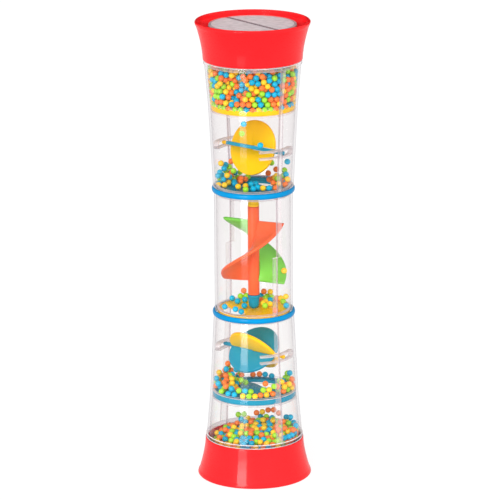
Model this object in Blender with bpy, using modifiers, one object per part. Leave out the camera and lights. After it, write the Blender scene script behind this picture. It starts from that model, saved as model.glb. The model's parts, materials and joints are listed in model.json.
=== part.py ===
"""Toy rainstick: a clear waisted tube of two half shells, closed by two flared end caps, clamped by
two rings and divided by four pierced baffles into five chambers. A spiral rotor turns in the middle
chamber, a paddle wheel in the chambers above and below it, and loose beads lie in all five.

Metres, +Z up. The origin is the centre of the face that the stick stands on. The stick is the same
either way up, so levels are heights above or below the middle of the tube."""

import math

import bmesh
import bpy
from mathutils import Matrix, Vector

MM = 0.001
GAP = 0.3 * MM

# Driving dimensions of the whole stick.
HEIGHT = 305 * MM
MIDDLE = HEIGHT / 2
WALL = 1.4 * MM
ROUND_STEPS = 36

# Levels above and below the middle.
RING_LEVEL = 41.5 * MM
INNER_BAFFLE_LEVEL = 41.2 * MM
WHEEL_LEVEL = 68.4 * MM
OUTER_BAFFLE_LEVEL = 96.7 * MM
CAP_EDGE_LEVEL = 127.2 * MM
END_DISC_LEVEL = 150.2 * MM

# Outer radii of the clear tube.
WAIST_RADIUS = 25.7 * MM
RING_SHOULDER_RADIUS = 26.35 * MM
BAFFLE_WALL_RADIUS = 29.1 * MM
CAP_COLLAR_RADIUS = 32 * MM
CAP_COLLAR_HEIGHT = 2.6 * MM
IN_CAP_RADIUS = 30.8 * MM
END_DISC_RADIUS = 28.4 * MM
SHOULDER_DROP = 1.9 * MM

# The plane where the half shells meet, as an angle about the tube from +X.
SEAM_ANGLE = math.radians(-53)

# Clamping rings and the grooves they sit in.
RING_HEIGHT = 3.4 * MM
RING_OUTER_RADIUS = 27.1 * MM
GROOVE_RADIUS = 25.3 * MM
GROOVE_HALF_HEIGHT = RING_HEIGHT / 2 + GAP

# Baffles, and the ribs on the wall that hold them. Each is a plate with a deeper rim, which stands
# out on the side away from the middle of the stick.
BAFFLE_RIM_HEIGHT = 3.4 * MM
BAFFLE_RIM_WIDTH = 1.5 * MM
BAFFLE_PLATE = 1.8 * MM
BAFFLE_SLOT_HALF = BAFFLE_RIM_HEIGHT / 2 + GAP
DROP_RADIUS = 20.8 * MM
OUTER_DROP_WIDTH = 14 * MM
INNER_DROP_WIDTH = 11 * MM
RIB_THICKNESS = 1.0 * MM
OUTER_SLOT_RADIUS = BAFFLE_WALL_RADIUS - WALL
INNER_SLOT_RADIUS = GROOVE_RADIUS - 1.2 * MM
OUTER_RIB_RADIUS = OUTER_SLOT_RADIUS - 1.3 * MM
INNER_RIB_RADIUS = INNER_SLOT_RADIUS - 1.3 * MM

# Paddle wheels: two crossed discs on a level axle, whose pins run in channels on the wall.
AXLE_ANGLE = math.radians(-40)
DISC_RADIUS = 18 * MM
DISC_THICKNESS = 2.3 * MM
PIN_RADIUS = 1.3 * MM
PIN_TIP = 25.7 * MM
CHANNEL_HALF_HEIGHT = PIN_RADIUS + GAP
CHANNEL_RIB = 1.2 * MM
CHANNEL_INNER_RADIUS = 23 * MM
CHANNEL_OUTER_RADIUS = 27 * MM
CHANNEL_STOP_ANGLE = math.radians(25)
CHANNEL_FAR_ANGLE = math.radians(-41)
PIN_ROOT = 17 * MM

# Spiral rotor.
SHAFT_RADIUS = 3.75 * MM
SHAFT_BOTTOM = 122 * MM
SHAFT_TOP = 182 * MM
BLADE_RADIUS = 21.5 * MM
BLADE_THICKNESS = 2.2 * MM
BLADE_BOTTOM = 131 * MM
BLADE_TOP = 172.4 * MM
BLADE_TURN = math.radians(182)
ORANGE_BLADE_ANGLE = math.radians(-22)
PIVOT_RADIUS = 1.6 * MM
PIVOT_HOLE_RADIUS = PIVOT_RADIUS + GAP
PIVOT_DEPTH = 2.4 * MM
PLUG_END_RADIUS = 3.1 * MM
BLADE_TONGUE_RADIUS = 2.6 * MM
BLADE_STEPS = 20
SHAFT_STEPS = 20

# End caps: the flare of the outside, as radius and depth below the rim.
CAP_RIM_RADIUS = 37.5 * MM
CAP_RIM_INSIDE = 35.2 * MM
CAP_RECESS = 2.4 * MM
CAP_FLARE = (
    (37.4 * MM, 2.1 * MM),
    (36.6 * MM, 3.2 * MM),
    (35.2 * MM, 8 * MM),
    (33.6 * MM, 15 * MM),
    (32.6 * MM, 21 * MM),
)
CAP_EDGE_RADIUS = 32.3 * MM
STRAIGHT_IN_CAP = 9 * MM

# Loose beads. A bank is a layer of them along the wall, with mounds that rise towards it.
BEAD_RADIUS = 1.95 * MM
TOP_PILE_DEPTH = 28 * MM
BOTTOM_PILE_DEPTH = 27 * MM
BOTTOM_PILE_SLOPE = 0.22
BOTTOM_PILE_UPHILL = math.radians(35)
BANK_INNER_RADIUS = 12 * MM
BANK_LAYER = 4.2 * MM
BANK_STEPS = 22

COLOURS = {
    "clear": (0.93, 0.95, 0.97, 0.25),
    "red": (0.86, 0.03, 0.05, 1),
    "blue": (0.0, 0.25, 0.80, 1),
    "yellow": (1.0, 0.55, 0.0, 1),
    "teal": (0.0, 0.22, 0.36, 1),
    "orange": (0.90, 0.14, 0.05, 1),
    "green": (0.20, 0.60, 0.10, 1),
}

parts = bpy.data.collections.new("rainstick")
cutters = bpy.data.collections.new("cutters")


def clear_scene():
    for old in list(bpy.data.objects):
        bpy.data.objects.remove(old, do_unlink=True)
    bpy.context.scene.collection.children.link(parts)
    bpy.context.scene.collection.children.link(cutters)


def moulded_plastic(piece, colour):
    """Glossy moulded plastic of its own for each piece."""
    material = bpy.data.materials.new(piece.name)
    material.use_nodes = True
    shader = material.node_tree.nodes["Principled BSDF"]
    shader.inputs["Base Color"].default_value = COLOURS[colour]
    shader.inputs["Alpha"].default_value = COLOURS[colour][3]
    shader.inputs["Roughness"].default_value = 0.25
    shader.inputs["Metallic"].default_value = 0.0
    piece.data.materials.clear()
    piece.data.materials.append(material)


def place(piece, name, colour=None, parent=None):
    """Name a piece and file it with the parts, or with the cutters when it has no colour."""
    piece.name = name
    piece.data.name = name
    for holder in list(piece.users_collection):
        holder.objects.unlink(piece)
    if colour is None:
        cutters.objects.link(piece)
        piece.hide_render = True
        piece.display_type = "WIRE"
    else:
        parts.objects.link(piece)
        moulded_plastic(piece, colour)
    piece.parent = parent
    return piece


def smooth(piece, angle=35):
    piece.data.shade_smooth()
    piece.data.set_sharp_from_angle(angle=math.radians(angle))


def boolean(piece, operation, *others):
    for other in others:
        modifier = piece.modifiers.new(other.name, "BOOLEAN")
        modifier.operation = operation
        modifier.solver = "EXACT"
        modifier.object = other


def freeze(piece):
    """Turn a piece's modifiers into plain mesh."""
    graph = bpy.context.evaluated_depsgraph_get()
    mesh = bpy.data.meshes.new_from_object(piece.evaluated_get(graph), depsgraph=graph)
    piece.modifiers.clear()
    piece.data = mesh
    return piece


def turned(name, outlines, colour=None, steps=ROUND_STEPS, parent=None):
    """Turn open or closed outlines of (radius, height) points about Z.
    An outline runs down the outer side, so that the surface faces out."""
    points = []
    edges = []
    for outline in outlines:
        first = len(points)
        points += [(radius, 0, height) for radius, height in outline]
        edges += [(first + i, first + i + 1) for i in range(len(outline) - 1)]
        if outline[0][0] > 0:
            edges.append((len(points) - 1, first))
    mesh = bpy.data.meshes.new(name)
    mesh.from_pydata(points, edges, [])
    piece = bpy.data.objects.new(name, mesh)
    place(piece, name, colour, parent)
    screw = piece.modifiers.new("turn", "SCREW")
    screw.steps = steps
    screw.render_steps = steps
    screw.use_merge_vertices = True
    screw.merge_threshold = 0.00001
    screw.use_smooth_shade = True
    return piece


def block(name, low, high, rotation=(0, 0, 0), location=(0, 0, 0)):
    """A cutter box between two corners, then turned and moved."""
    bpy.ops.mesh.primitive_cube_add(size=1)
    piece = bpy.context.object
    size = Vector(high) - Vector(low)
    middle = (Vector(high) + Vector(low)) / 2
    piece.data.transform(Matrix.Translation(middle) @ Matrix.Diagonal((*size, 1)))
    piece.rotation_euler = rotation
    piece.location = location
    return place(piece, name)


def drum(name, radius, low, high, colour=None, steps=ROUND_STEPS, parent=None):
    """A plain round bar or disc on Z between two heights."""
    bpy.ops.mesh.primitive_cylinder_add(radius=radius, depth=high - low, vertices=steps)
    piece = bpy.context.object
    piece.data.transform(Matrix.Translation((0, 0, (high + low) / 2)))
    return place(piece, name, colour, parent)


def plate(name, outline, low, high, colour=None):
    """A flat outline of (x, y) points, filled and extruded between two heights."""
    curve = bpy.data.curves.new(name, "CURVE")
    curve.dimensions = "2D"
    curve.fill_mode = "BOTH"
    curve.extrude = (high - low) / 2
    spline = curve.splines.new("POLY")
    spline.points.add(len(outline) - 1)
    for point, (x, y) in zip(spline.points, outline):
        point.co = (x, y, 0, 1)
    spline.use_cyclic_u = True
    guide = bpy.data.objects.new(name, curve)
    cutters.objects.link(guide)
    bpy.context.view_layer.update()
    graph = bpy.context.evaluated_depsgraph_get()
    mesh = bpy.data.meshes.new_from_object(guide.evaluated_get(graph), depsgraph=graph)
    bpy.data.objects.remove(guide)
    shape = bmesh.new()
    shape.from_mesh(mesh)
    bmesh.ops.remove_doubles(shape, verts=shape.verts, dist=0.00001)
    bmesh.ops.recalc_face_normals(shape, faces=shape.faces)
    bmesh.ops.translate(shape, verts=shape.verts, vec=(0, 0, (high + low) / 2))
    shape.to_mesh(mesh)
    shape.free()
    piece = bpy.data.objects.new(name, mesh)
    return place(piece, name, colour)


def polar(radius, angle):
    return (radius * math.cos(angle), radius * math.sin(angle))


def sector(inner, outer, start, end, steps=10):
    """Outline of part of a flat ring between two angles."""
    angles = [start + (end - start) * i / steps for i in range(steps + 1)]
    return [polar(outer, a) for a in angles] + [polar(inner, a) for a in reversed(angles)]


def mirrored(upper):
    """Continue an outline given from the top down to the middle with its mirror image."""
    return upper + [(radius, -height) for radius, height in reversed(upper)]


def raised(outline, level=MIDDLE):
    return [(radius, level + height) for radius, height in outline]


def plate_top(level):
    """Height of the upper face of a baffle's plate."""
    half = BAFFLE_RIM_HEIGHT / 2
    return MIDDLE + level + (BAFFLE_PLATE - half if level > 0 else half)


# --- clear tube -----------------------------------------------------------------------------------

def tube_outer_outline():
    return mirrored([
        (0, END_DISC_LEVEL),
        (END_DISC_RADIUS, END_DISC_LEVEL),
        (END_DISC_RADIUS, END_DISC_LEVEL - SHOULDER_DROP),
        (IN_CAP_RADIUS, END_DISC_LEVEL - SHOULDER_DROP),
        (IN_CAP_RADIUS, CAP_EDGE_LEVEL - GAP),
        (CAP_COLLAR_RADIUS, CAP_EDGE_LEVEL - GAP),
        (CAP_COLLAR_RADIUS, CAP_EDGE_LEVEL - CAP_COLLAR_HEIGHT),
        (CAP_COLLAR_RADIUS - 0.6 * MM, CAP_EDGE_LEVEL - CAP_COLLAR_HEIGHT - 0.3 * MM),
        (BAFFLE_WALL_RADIUS, OUTER_BAFFLE_LEVEL),
        (RING_SHOULDER_RADIUS, RING_LEVEL + GROOVE_HALF_HEIGHT),
        (GROOVE_RADIUS, RING_LEVEL + GROOVE_HALF_HEIGHT),
        (GROOVE_RADIUS, RING_LEVEL - GROOVE_HALF_HEIGHT),
        (WAIST_RADIUS, RING_LEVEL - GROOVE_HALF_HEIGHT),
    ])


def rib_pair(level, slot_radius, rib_radius, wall_above, wall_below):
    """Two ribs on the wall with a slot between them that holds a baffle's edge."""
    near = BAFFLE_SLOT_HALF
    far = near + RIB_THICKNESS
    return [
        (wall_above, level + far), (rib_radius, level + far),
        (rib_radius, level + near), (slot_radius, level + near),
        (slot_radius, level - near), (rib_radius, level - near),
        (rib_radius, level - far), (wall_below, level - far),
    ]


def tube_inner_outline():
    inside_cap = IN_CAP_RADIUS - WALL
    end_disc = END_DISC_RADIUS - WALL
    waist = WAIST_RADIUS - WALL
    upper = [
        (0, END_DISC_LEVEL - WALL),
        (end_disc, END_DISC_LEVEL - WALL),
        (end_disc, END_DISC_LEVEL - SHOULDER_DROP - WALL),
        (inside_cap, END_DISC_LEVEL - SHOULDER_DROP - WALL),
        (inside_cap, CAP_EDGE_LEVEL - STRAIGHT_IN_CAP),
    ]
    upper += rib_pair(OUTER_BAFFLE_LEVEL, OUTER_SLOT_RADIUS, OUTER_RIB_RADIUS,
                      OUTER_SLOT_RADIUS + 0.2 * MM, OUTER_SLOT_RADIUS - 0.2 * MM)
    upper += rib_pair(INNER_BAFFLE_LEVEL, INNER_SLOT_RADIUS, INNER_RIB_RADIUS,
                      RING_SHOULDER_RADIUS - WALL, waist)
    return list(reversed(mirrored(upper)))


def bearing_channels():
    """For each wheel and each end of its axle, two ribs on the wall joined by a stop. They start
    on one side of the seam, cross it and end past the axle, so a pin slides in from the seam."""
    pieces = []
    inset = 0.4 * MM
    for level_sign in (1, -1):
        centre = MIDDLE + level_sign * WHEEL_LEVEL
        for side in (0, math.pi):
            near = AXLE_ANGLE + side + CHANNEL_STOP_ANGLE
            far = AXLE_ANGLE + side + CHANNEL_FAR_ANGLE
            name = "channel_%d_%d" % (level_sign, round(math.degrees(side)))
            outline = sector(CHANNEL_INNER_RADIUS, CHANNEL_OUTER_RADIUS, far, near)
            low_face = CHANNEL_HALF_HEIGHT
            high_face = CHANNEL_HALF_HEIGHT + CHANNEL_RIB
            pieces.append(plate(name + "_top", outline, centre + low_face, centre + high_face))
            pieces.append(plate(name + "_bottom", outline, centre - high_face, centre - low_face))
            stop = sector(CHANNEL_INNER_RADIUS + inset, CHANNEL_OUTER_RADIUS, near - math.radians(3),
                          near - math.radians(0.5), 1)
            pieces.append(plate(name + "_stop", stop, centre - high_face + inset, centre + high_face - inset))
    return pieces


def half_shells():
    tube = turned("whole_tube", [raised(tube_outer_outline()), raised(tube_inner_outline())])
    boolean(tube, "UNION", *bearing_channels())
    bpy.context.view_layer.update()
    freeze(tube)
    reach = 40 * MM
    turn = (0, 0, SEAM_ANGLE)
    for name, low_y, high_y in (("shell_half_rear", GAP / 2, reach), ("shell_half_front", -reach, -GAP / 2)):
        side = block(name + "_side", (-reach, low_y, -reach), (reach, high_y, HEIGHT + reach), turn)
        half = bpy.data.objects.new(name, tube.data.copy())
        place(half, name, "clear")
        boolean(half, "INTERSECT", side)


# --- end caps and rings ---------------------------------------------------------------------------

def end_caps():
    """Flared collars. A flange inside the rim lies on the tube's shoulder, round its end disc."""
    top = HEIGHT - MIDDLE
    round_off = 0.6 * MM
    flange_under = END_DISC_LEVEL - SHOULDER_DROP + GAP
    bore = IN_CAP_RADIUS + GAP
    outline = [(CAP_RIM_RADIUS - round_off, top), (CAP_RIM_RADIUS, top - round_off)]
    outline += [(radius, top - depth) for radius, depth in CAP_FLARE]
    outline += [
        (CAP_EDGE_RADIUS, CAP_EDGE_LEVEL),
        (bore, CAP_EDGE_LEVEL),
        (bore, top - 20 * MM),
        (33.5 * MM, top - 9 * MM),
        (34.4 * MM, flange_under),
        (END_DISC_RADIUS + GAP, flange_under),
        (END_DISC_RADIUS + GAP, top - CAP_RECESS),
        (CAP_RIM_INSIDE, top - CAP_RECESS),
        (CAP_RIM_INSIDE, top - round_off),
        (CAP_RIM_INSIDE + round_off / 2, top),
    ]
    turned("top_cap", [raised(outline)], "red")
    lower = [(radius, -height) for radius, height in reversed(outline)]
    turned("base_cap", [raised(lower)], "red")


def clamping_rings():
    half = RING_HEIGHT / 2
    inner = GROOVE_RADIUS + GAP
    shoulder = RING_OUTER_RADIUS - 0.7 * MM
    bulge = RING_OUTER_RADIUS - 0.2 * MM
    outline = [
        (inner, half), (shoulder, half), (bulge, half * 0.62), (RING_OUTER_RADIUS, 0),
        (bulge, -half * 0.62), (shoulder, -half), (inner, -half),
    ]
    for name, sign in (("upper_ring", 1), ("lower_ring", -1)):
        turned(name, [raised(outline, MIDDLE + sign * RING_LEVEL)], "blue")


# --- baffles --------------------------------------------------------------------------------------

def drop_outline(outer, width, start, sweep, steps=9):
    """A comma-shaped opening: pointed where it starts and full width at its round end."""
    angles = [start + sweep * i / steps for i in range(steps + 1)]
    outside = [polar(outer, a) for a in angles]
    inside = []
    for i in range(steps, 0, -1):
        share = i / steps
        inside.append(polar(outer - width * math.sin(share * math.pi / 2) ** 0.6, angles[i]))
    end = angles[-1]
    middle = Vector(polar(outer - width / 2, end))
    spread = math.copysign(1, sweep)
    bulge = []
    for i in range(1, 5):
        turn = end + spread * math.pi * i / 5
        bulge.append(tuple(middle + Vector(polar(width / 2, turn))))
    return outside + bulge + inside


def baffle_outline(radius, outward):
    """A plate with its deeper rim, round its own level. outward is 1 where the rim stands up."""
    half = BAFFLE_RIM_HEIGHT / 2
    inside = radius - BAFFLE_RIM_WIDTH
    outline = [
        (0, BAFFLE_PLATE - half), (inside, BAFFLE_PLATE - half), (inside, half),
        (radius, half), (radius, -half), (0, -half),
    ]
    if outward > 0:
        return outline
    return [(r, -height) for r, height in reversed(outline)]


def baffles():
    rows = (
        ("top_baffle", OUTER_BAFFLE_LEVEL, OUTER_SLOT_RADIUS, OUTER_DROP_WIDTH, "yellow", 200, -75),
        ("upper_baffle", INNER_BAFFLE_LEVEL, INNER_SLOT_RADIUS, INNER_DROP_WIDTH, "teal", 115, -70),
        ("lower_baffle", -INNER_BAFFLE_LEVEL, INNER_SLOT_RADIUS, INNER_DROP_WIDTH, "yellow", 150, 78),
        ("bottom_baffle", -OUTER_BAFFLE_LEVEL, OUTER_SLOT_RADIUS, OUTER_DROP_WIDTH, "teal", 112, -75),
    )
    deep = BAFFLE_RIM_HEIGHT
    for name, level, slot_radius, width, colour, start, sweep in rows:
        centre = MIDDLE + level
        outline = baffle_outline(slot_radius - GAP, level)
        disc = turned(name, [raised(outline, centre)], colour)
        opening = drop_outline(DROP_RADIUS, width, math.radians(start), math.radians(sweep))
        boolean(disc, "DIFFERENCE", plate(name + "_opening", opening, centre - deep, centre + deep))
        if abs(level) == INNER_BAFFLE_LEVEL:
            hole = drum(name + "_pivot_hole", PIVOT_HOLE_RADIUS, centre - deep, centre + deep, steps=16)
            boolean(disc, "DIFFERENCE", hole)


# --- spiral rotor ---------------------------------------------------------------------------------

def blade(name, inner, thickness, angle, colour=None, parent=None, lead=0):
    """A helical blade: a radial edge that sinks as it turns clockwise from its top edge.
    A lead makes it run on by that angle at both ends."""
    pitch = (BLADE_TOP - BLADE_BOTTOM) / BLADE_TURN
    mesh = bpy.data.meshes.new(name)
    mesh.from_pydata([(inner, 0, 0), ((inner + BLADE_RADIUS) / 2, 0, 0), (BLADE_RADIUS, 0, 0)],
                     [(0, 1), (1, 2)], [])
    piece = bpy.data.objects.new(name, mesh)
    place(piece, name, colour, parent)
    piece.location = (0, 0, BLADE_TOP + lead * pitch - parent.location.z)
    piece.rotation_euler = (0, 0, angle + lead)
    screw = piece.modifiers.new("sweep", "SCREW")
    screw.angle = -(BLADE_TURN + 2 * lead)
    screw.screw_offset = BLADE_BOTTOM - BLADE_TOP - 2 * lead * pitch
    screw.steps = BLADE_STEPS
    screw.render_steps = BLADE_STEPS
    solid = piece.modifiers.new("thickness", "SOLIDIFY")
    solid.thickness = thickness
    solid.offset = 0
    return piece


def plug_outline(length):
    """A plug below the shaft, from the shaft down to its pivot's tip, as an outline round Z."""
    return [
        (0, length), (SHAFT_RADIUS, length), (SHAFT_RADIUS, length - 2.5 * MM),
        (PLUG_END_RADIUS, length - 4.5 * MM), (PLUG_END_RADIUS, 1.6 * MM), (PLUG_END_RADIUS - 1.2 * MM, 0),
        (PIVOT_RADIUS, 0), (PIVOT_RADIUS, -PIVOT_DEPTH), (0, -PIVOT_DEPTH),
    ]


def spiral_rotor():
    rotor = bpy.data.objects.new("spiral_axis", None)
    rotor.location = (0, 0, MIDDLE)
    parts.objects.link(rotor)
    shaft = drum("spiral_shaft", SHAFT_RADIUS, SHAFT_BOTTOM + GAP - MIDDLE, SHAFT_TOP - GAP - MIDDLE,
                 "orange", SHAFT_STEPS, rotor)
    smooth(shaft)
    root = blade("orange_blade_root", SHAFT_RADIUS / 4, BLADE_THICKNESS, ORANGE_BLADE_ANGLE, parent=rotor)
    boolean(shaft, "UNION", root)
    green_angle = ORANGE_BLADE_ANGLE + math.pi
    slot = blade("green_blade_slot", BLADE_TONGUE_RADIUS - GAP, BLADE_THICKNESS + 2 * GAP, green_angle,
                 parent=rotor, lead=math.radians(6))
    boolean(shaft, "DIFFERENCE", slot)
    blade("spiral_green_blade", BLADE_TONGUE_RADIUS, BLADE_THICKNESS, green_angle, "green", rotor)

    floor = plate_top(-INNER_BAFFLE_LEVEL) + GAP
    ceiling = plate_top(INNER_BAFFLE_LEVEL) - BAFFLE_PLATE - GAP
    bottom = plug_outline(SHAFT_BOTTOM - floor)
    turned("spiral_bottom_plug", [raised(bottom, floor - MIDDLE)], "teal", SHAFT_STEPS, rotor)
    top = [(radius, -height) for radius, height in reversed(plug_outline(ceiling - SHAFT_TOP))]
    turned("spiral_top_plug", [raised(top, ceiling - MIDDLE)], "yellow", SHAFT_STEPS, rotor)


# --- paddle wheels --------------------------------------------------------------------------------

def wheel_disc(name, colour, axle, tilt, pin_side):
    """A round disc with one axle pin. Its slot opens on the other side and takes the other disc."""
    bpy.ops.mesh.primitive_cylinder_add(radius=DISC_RADIUS, depth=DISC_THICKNESS, vertices=ROUND_STEPS)
    disc = bpy.context.object
    disc.data.transform(Matrix.Rotation(math.pi / 2, 4, "X"))
    place(disc, name, colour, axle)
    disc.rotation_euler = (tilt, 0, 0)

    bpy.ops.mesh.primitive_cylinder_add(radius=PIN_RADIUS, depth=PIN_TIP - PIN_ROOT, vertices=16)
    pin = bpy.context.object
    pin.data.transform(Matrix.Rotation(math.pi / 2, 4, "Y"))
    pin.data.transform(Matrix.Translation((pin_side * (PIN_TIP + PIN_ROOT) / 2, 0, 0)))
    place(pin, name + "_pin", parent=disc)
    boolean(disc, "UNION", pin)

    half_width = DISC_THICKNESS / 2 + GAP
    past = 3 * MM
    ends = sorted((pin_side * GAP, -pin_side * (DISC_RADIUS + past)))
    slot = block(name + "_slot", (ends[0], -past, -half_width), (ends[1], past, half_width))
    slot.parent = disc
    boolean(disc, "DIFFERENCE", slot)
    smooth(disc)


def paddle_wheels():
    rows = (
        ("upper_wheel", 1, math.radians(-17.4), math.radians(72.6), -1),
        ("lower_wheel", -1, math.radians(41), math.radians(-49), 1),
    )
    for name, sign, yellow_tilt, teal_tilt, yellow_side in rows:
        axle = bpy.data.objects.new(name + "_axle", None)
        axle.location = (0, 0, MIDDLE + sign * WHEEL_LEVEL)
        axle.rotation_euler = (0, 0, AXLE_ANGLE)
        parts.objects.link(axle)
        wheel_disc(name + "_yellow_disc", "yellow", axle, yellow_tilt, yellow_side)
        wheel_disc(name + "_teal_disc", "teal", axle, teal_tilt, -yellow_side)


# --- beads ----------------------------------------------------------------------------------------

def end_piles():
    """The piles that fill the two end chambers from wall to wall."""
    floor = plate_top(OUTER_BAFFLE_LEVEL) + GAP
    inside_rim = OUTER_SLOT_RADIUS - BAFFLE_RIM_WIDTH - 2 * GAP
    top = [(0, TOP_PILE_DEPTH), (27.9 * MM, TOP_PILE_DEPTH), (27.2 * MM, 4 * MM),
           (inside_rim, 3.2 * MM), (inside_rim, 0), (0, 0)]
    turned("top_pile", [raised(top, floor)], "orange")
    floor = MIDDLE - END_DISC_LEVEL + WALL + GAP
    inside_disc = END_DISC_RADIUS - WALL - GAP
    inside_wall = IN_CAP_RADIUS - WALL - 0.5 * MM
    bottom = [(0, BOTTOM_PILE_DEPTH), (inside_wall - 0.7 * MM, BOTTOM_PILE_DEPTH),
              (inside_wall, 16 * MM), (inside_wall, 2.6 * MM),
              (inside_disc, 2.1 * MM), (inside_disc, 0), (0, 0)]
    pile = freeze(turned("bottom_pile", [raised(bottom, floor)], "orange"))
    uphill = Vector(polar(1, BOTTOM_PILE_UPHILL))
    for vert in pile.data.vertices:
        if vert.co.z > floor + BOTTOM_PILE_DEPTH - MM:
            vert.co.z += BOTTOM_PILE_SLOPE * uphill.dot(vert.co.xy)


def bank(name, outer, floor, start, sweep, mounds):
    """Beads lying against the wall: part of a ring one bead deep, with mounds of
    (angle, half width, height) that rise towards the wall."""
    inner = BANK_INNER_RADIUS
    layer = BANK_LAYER
    shape = bmesh.new()
    corners = [(inner, floor), (outer, floor), (outer, floor + layer),
               ((inner + outer) / 2, floor + layer), (inner, floor + layer)]
    verts = [shape.verts.new((radius, 0, height)) for radius, height in corners]
    face = shape.faces.new(verts)
    bmesh.ops.spin(shape, geom=[face, *face.edges, *face.verts], axis=(0, 0, 1), cent=(0, 0, 0),
                   angle=math.radians(sweep), steps=BANK_STEPS)
    bmesh.ops.rotate(shape, verts=shape.verts, matrix=Matrix.Rotation(math.radians(start), 3, "Z"))
    for vert in shape.verts:
        if vert.co.z < floor + layer / 2:
            continue
        angle = math.degrees(math.atan2(vert.co.y, vert.co.x))
        outward = (math.hypot(vert.co.x, vert.co.y) - inner) / (outer - inner)
        for middle, half_width, height in mounds:
            away = abs((angle - middle + 180) % 360 - 180) / half_width
            if away < 1:
                vert.co.z += height * outward * (1 + math.cos(math.pi * away)) / 2
    bmesh.ops.recalc_face_normals(shape, faces=shape.faces)
    mesh = bpy.data.meshes.new(name)
    shape.to_mesh(mesh)
    shape.free()
    place(bpy.data.objects.new(name, mesh), name, "orange")


def banks():
    inner_rim = INNER_SLOT_RADIUS - BAFFLE_RIM_WIDTH - 2 * GAP
    bank("upper_wheel_pile", inner_rim, plate_top(INNER_BAFFLE_LEVEL) + GAP, 118, 250,
         ((185, 60, 12 * MM), (0, 30, 9 * MM)))
    bank("spiral_pile", inner_rim, plate_top(-INNER_BAFFLE_LEVEL) + GAP, 262, 230,
         ((5, 40, 3 * MM),))
    bank("lower_wheel_pile", OUTER_RIB_RADIUS - GAP, plate_top(-OUTER_BAFFLE_LEVEL) + GAP, 118, 240,
         ((190, 60, 10 * MM), (-5, 35, 9 * MM)))


def loose_beads():
    """Single beads by name, angle, radius and height: four cling to the wall, and the last lies on
    the green blade."""
    rows = (
        ("clinging_bead_1", -104, 24.8, 242.0),
        ("clinging_bead_2", -107, 24.5, 235.6),
        ("clinging_bead_3", -79, 24.2, 227.9),
        ("clinging_bead_4", -20, 23.5, 213.3),
        ("clinging_bead_5", -10.9, 20.3, 139.1),
    )
    for name, angle, radius, height in rows:
        x, y = polar(radius * MM, math.radians(angle))
        bpy.ops.mesh.primitive_ico_sphere_add(radius=BEAD_RADIUS, subdivisions=2, location=(x, y, height * MM))
        place(bpy.context.object, name, "blue")


clear_scene()
half_shells()
end_caps()
clamping_rings()
baffles()
spiral_rotor()
paddle_wheels()
end_piles()
banks()
loose_beads()
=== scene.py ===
"""Looks of the toy rainstick: clear moulded half shells, glossy caps, rings, baffles, wheels and
spiral, and every loose bead as its own ball, packed by a small simulation in each chamber."""

import json
import math

import bmesh
import bpy
import numpy as np
from mathutils import Matrix, Vector


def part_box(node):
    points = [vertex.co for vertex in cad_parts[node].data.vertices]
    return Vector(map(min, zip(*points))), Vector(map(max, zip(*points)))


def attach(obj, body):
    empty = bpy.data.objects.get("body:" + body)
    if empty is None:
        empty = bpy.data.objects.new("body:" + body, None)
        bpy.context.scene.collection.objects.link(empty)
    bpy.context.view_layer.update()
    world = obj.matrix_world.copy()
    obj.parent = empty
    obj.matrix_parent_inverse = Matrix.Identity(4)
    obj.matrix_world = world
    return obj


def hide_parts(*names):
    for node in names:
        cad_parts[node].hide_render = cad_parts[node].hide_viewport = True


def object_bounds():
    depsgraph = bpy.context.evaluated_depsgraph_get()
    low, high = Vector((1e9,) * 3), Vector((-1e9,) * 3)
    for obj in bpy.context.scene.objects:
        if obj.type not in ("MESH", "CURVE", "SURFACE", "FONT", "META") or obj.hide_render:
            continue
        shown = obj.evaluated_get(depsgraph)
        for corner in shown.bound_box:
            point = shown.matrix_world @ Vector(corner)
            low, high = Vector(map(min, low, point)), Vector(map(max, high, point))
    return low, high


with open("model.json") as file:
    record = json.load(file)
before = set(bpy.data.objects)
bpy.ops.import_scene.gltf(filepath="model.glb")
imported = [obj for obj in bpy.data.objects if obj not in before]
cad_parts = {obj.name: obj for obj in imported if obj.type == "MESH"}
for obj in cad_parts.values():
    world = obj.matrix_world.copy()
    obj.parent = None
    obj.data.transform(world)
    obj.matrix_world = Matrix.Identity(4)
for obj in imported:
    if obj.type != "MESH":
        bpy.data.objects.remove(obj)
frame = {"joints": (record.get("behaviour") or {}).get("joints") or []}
cad_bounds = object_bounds()
joints = {joint["name"]: joint for joint in frame["joints"]}

MM = 0.001
GAP = 0.3 * MM
ROUND_STEPS = 160
DISC_STEPS = 120
PART_STEPS = 64
PIN_STEPS = 32
FILLET_STEPS = 3


def node_level(node):
    low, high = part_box(node)
    return (low.z + high.z) / 2


def node_radius(node):
    low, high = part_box(node)
    return (high.x - low.x) / 2


# Places read from the frame.
HEIGHT = cad_bounds[1][2]
MIDDLE = HEIGHT / 2
RIM_RADIUS = node_radius("top_cap")
RING_LEVEL = node_level("upper_ring") - MIDDLE
INNER_BAFFLE_LEVEL = node_level("upper_baffle") - MIDDLE
OUTER_BAFFLE_LEVEL = node_level("top_baffle") - MIDDLE
WHEEL_LEVEL = joints["upper_wheel_spin"]["pos_m"][2] - MIDDLE
CAP_EDGE_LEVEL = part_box("top_cap")[0].z - MIDDLE
END_DISC_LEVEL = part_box("shell_half_rear")[1].z - MIDDLE
OUTER_SLOT_RADIUS = node_radius("top_baffle") + GAP
INNER_SLOT_RADIUS = node_radius("upper_baffle") + GAP
AXLE_ANGLE = math.atan2(*reversed(joints["upper_wheel_spin"]["axis"][:2]))

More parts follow.
